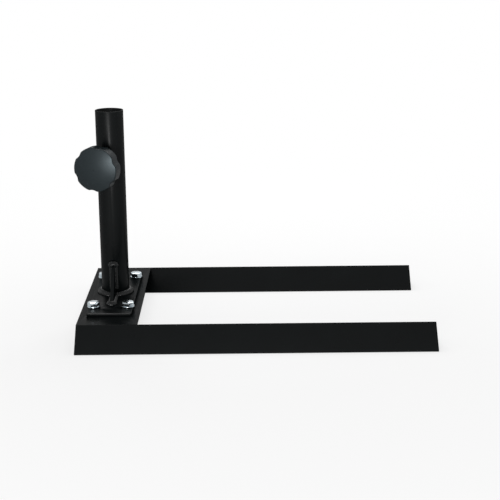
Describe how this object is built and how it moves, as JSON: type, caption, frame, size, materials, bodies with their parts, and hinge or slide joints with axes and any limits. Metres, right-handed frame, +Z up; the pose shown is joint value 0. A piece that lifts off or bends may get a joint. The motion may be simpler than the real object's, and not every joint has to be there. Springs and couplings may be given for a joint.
{
  "type": "forked ground foot with pole socket",
  "caption": "Black steel forked floor stand with an upright tube socket, gussets, bolted flange and a lobed clamp knob for holding a pole.",
  "frame": {"origin": "on the socket's axis, on the flange plate's top face, which is the floor of the socket", "axes": "+Z up along the socket; +X along the legs towards their free ends; -Y is the side the clamp knob is on"},
  "size_m": [0.5553, 0.3808, 0.3415],
  "materials": {
    "coat": "semi-gloss black powder coat",
    "coated_weld": "weld bead under black powder coat",
    "zinc": "bright zinc plate",
    "insert": "turned brass",
    "knob": "black moulded plastic, fine satin"
  },
  "bodies": {
    "stand": {"front_leg": "coat", "rear_leg": "coat", "base_plate": "coat", "flange_plate": "coat", "socket_tube": "coat", "clamp_nut": "coat", "front_gusset": "coat", "rear_gusset": "coat", "front_leg_weld": "coated_weld", "rear_leg_weld": "coated_weld", "tube_foot_weld": "coated_weld", "clamp_nut_weld": "coated_weld", "front_gusset_foot_weld": "coated_weld", "front_gusset_tube_weld": "coated_weld", "rear_gusset_foot_weld": "coated_weld", "rear_gusset_tube_weld": "coated_weld", "bolt_front_left": "zinc", "top_washer_front_left": "zinc", "under_washer_front_left": "zinc", "nut_front_left": "zinc", "bolt_front_right": "zinc", "top_washer_front_right": "zinc", "under_washer_front_right": "zinc", "nut_front_right": "zinc", "bolt_rear_left": "zinc", "top_washer_rear_left": "zinc", "under_washer_rear_left": "zinc", "nut_rear_left": "zinc", "bolt_rear_right": "zinc", "top_washer_rear_right": "zinc", "under_washer_rear_right": "zinc", "nut_rear_right": "zinc"},
    "clamp_screw": {"clamp_stud": "zinc"},
    "clamp_knob": {"clamp_knob": "knob", "knob_insert": "insert"}
  },
  "joints": [
    {"name": "screw_feed", "type": "slide", "parent": "stand", "child": "clamp_screw", "axis": [-0.2756, -0.9613, 0], "range_m": [-0.006, 0.0075]},
    {"name": "knob_turn", "type": "hinge", "parent": "clamp_screw", "child": "clamp_knob", "pos_m": [-0.01571, -0.05479, 0.217], "axis": [-0.2756, -0.9613, 0], "range_deg": [-1440, 1800]}
  ],
  "couplings": [
    {"joint": "screw_feed", "follows": "knob_turn", "m_per_rad": 0.0002387}
  ]
}
